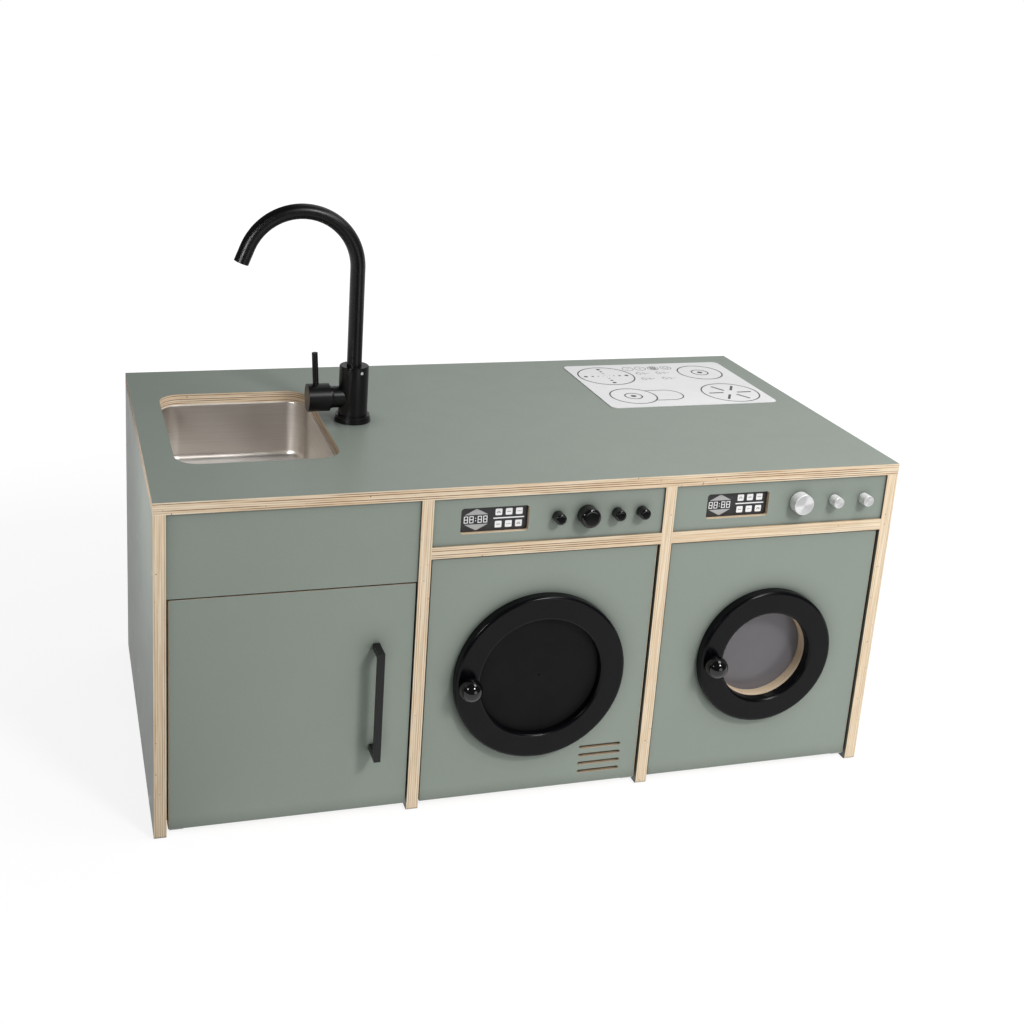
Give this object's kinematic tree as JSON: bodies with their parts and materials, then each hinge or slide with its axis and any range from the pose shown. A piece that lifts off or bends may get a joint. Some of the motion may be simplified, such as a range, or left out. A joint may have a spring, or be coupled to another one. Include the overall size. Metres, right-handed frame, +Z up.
{
  "type": "play kitchen and laundry unit",
  "caption": "Low plywood play unit with a steel sink, mixer tap and hob sheet on top, over a cupboard, a dryer front and a washing-machine front with hinged doors.",
  "frame": {"origin": "on the floor, at the middle of the overall width and depth, with the ball knobs counted", "axes": "+X to the right of someone facing the doors, +Y towards the back, +Z up"},
  "size_m": [1.15, 0.6456, 0.877],
  "materials": {
    "sage_ply": "satin laminate on plywood",
    "birch_ply": "sanded birch",
    "plain_steel": "bright steel",
    "brushed_steel": "brushed",
    "white_sheet": "matt printed sheet",
    "display_plate": "matt printed plate",
    "black_metal": "matt black coat",
    "white_plastic": "matt",
    "gloss_black": "gloss",
    "black_lacquer": "satin black lacquer on board",
    "aluminium": "turned and brushed",
    "clear_pane": "clear acrylic"
  },
  "bodies": {
    "cabinet": {"worktop": "sage_ply", "left_side_panel": "sage_ply", "left_divider": "sage_ply", "right_divider": "sage_ply", "right_side_panel": "sage_ply", "cupboard_floor": "sage_ply", "dryer_floor": "sage_ply", "washer_floor": "sage_ply", "cupboard_partition": "sage_ply", "dryer_partition": "sage_ply", "washer_partition": "sage_ply", "cupboard_fascia": "sage_ply", "dryer_fascia": "sage_ply", "washer_fascia": "sage_ply", "dryer_upper_board": "birch_ply", "washer_upper_board": "birch_ply", "carcass_dowels": "birch_ply", "side_screws": "plain_steel", "sink_basin": "brushed_steel", "sink_screws": "plain_steel", "hob_sheet": "white_sheet", "dryer_display": "display_plate", "washer_display": "display_plate", "tap_base_ring": "black_metal", "tap_body": "black_metal", "tap_shank": "plain_steel", "tap_nut": "plain_steel", "spout_screw": "plain_steel", "knob_spindles": "plain_steel", "upper_pivot_pins": "plain_steel", "lower_pivot_plates": "plain_steel", "door_magnets": "white_plastic"},
    "cupboard_door": {"cupboard_door": "sage_ply", "cupboard_handle": "black_metal", "handle_screws": "plain_steel", "cupboard_strike": "plain_steel"},
    "dryer_door": {"dryer_door": "sage_ply", "dryer_ring": "black_lacquer", "dryer_disc": "black_lacquer", "dryer_door_knob": "gloss_black", "dryer_ring_screws": "plain_steel", "dryer_strike": "plain_steel"},
    "washer_door": {"washer_door": "sage_ply", "washer_ring": "black_lacquer", "washer_pane": "clear_pane", "washer_door_knob": "gloss_black", "washer_ring_screws": "plain_steel", "washer_strike": "plain_steel"},
    "spout": {"spout": "black_metal"},
    "tap_cartridge": {"tap_cartridge": "plain_steel"},
    "tap_handle": {"lever_stem": "plain_steel", "handle_cap": "black_metal", "lever_rod": "black_metal"},
    "dryer_knob_1": {"dryer_knob_1": "gloss_black"},
    "dryer_large_knob": {"dryer_large_knob": "gloss_black"},
    "dryer_knob_2": {"dryer_knob_2": "gloss_black"},
    "dryer_knob_3": {"dryer_knob_3": "gloss_black"},
    "washer_large_knob": {"washer_large_knob": "aluminium"},
    "washer_knob_1": {"washer_knob_1": "aluminium"},
    "washer_knob_2": {"washer_knob_2": "aluminium"}
  },
  "joints": [
    {"name": "cupboard_door_hinge", "type": "hinge", "parent": "cabinet", "child": "cupboard_door", "pos_m": [-0.54259, -0.26525, 0.2], "axis": [0, 0, -1], "range_deg": [0, 105]},
    {"name": "dryer_door_hinge", "type": "hinge", "parent": "cabinet", "child": "dryer_door", "pos_m": [0.16526, -0.26525, 0.2], "axis": [0, 0, 1], "range_deg": [0, 105]},
    {"name": "washer_door_hinge", "type": "hinge", "parent": "cabinet", "child": "washer_door", "pos_m": [0.54259, -0.26525, 0.2], "axis": [0, 0, 1], "range_deg": [0, 105]},
    {"name": "spout_swivel", "type": "hinge", "parent": "cabinet", "child": "spout", "pos_m": [-0.234, 0.03075, 0.7], "axis": [0, 0, 1], "range_deg": [-120, 120]},
    {"name": "lever_turn", "type": "hinge", "parent": "cabinet", "child": "tap_cartridge", "pos_m": [-0.276, 0.03075, 0.565], "axis": [1, 0, 0], "range_deg": [-45, 45]},
    {"name": "lever_tilt", "type": "hinge", "parent": "tap_cartridge", "child": "tap_handle", "pos_m": [-0.276, 0.03075, 0.565], "axis": [0, -1, 0], "range_deg": [0, 18]},
    {"name": "dryer_knob_1_turn", "type": "hinge", "parent": "cabinet", "child": "dryer_knob_1", "pos_m": [0.01111, -0.28225, 0.47], "axis": [0, -1, 0], "continuous": true},
    {"name": "dryer_large_knob_turn", "type": "hinge", "parent": "cabinet", "child": "dryer_large_knob", "pos_m": [0.05715, -0.28225, 0.47], "axis": [0, -1, 0], "continuous": true},
    {"name": "dryer_knob_2_turn", "type": "hinge", "parent": "cabinet", "child": "dryer_knob_2", "pos_m": [0.10511, -0.28225, 0.47], "axis": [0, -1, 0], "continuous": true},
    {"name": "dryer_knob_3_turn", "type": "hinge", "parent": "cabinet", "child": "dryer_knob_3", "pos_m": [0.14463, -0.28225, 0.47], "axis": [0, -1, 0], "continuous": true},
    {"name": "washer_large_knob_turn", "type": "hinge", "parent": "cabinet", "child": "washer_large_knob", "pos_m": [0.40839, -0.28225, 0.47], "axis": [0, -1, 0], "continuous": true},
    {"name": "washer_knob_1_turn", "type": "hinge", "parent": "cabinet", "child": "washer_knob_1", "pos_m": [0.46873, -0.28225, 0.47], "axis": [0, -1, 0], "continuous": true},
    {"name": "washer_knob_2_turn", "type": "hinge", "parent": "cabinet", "child": "washer_knob_2", "pos_m": [0.52072, -0.28225, 0.47], "axis": [0, -1, 0], "continuous": true}
  ]
}
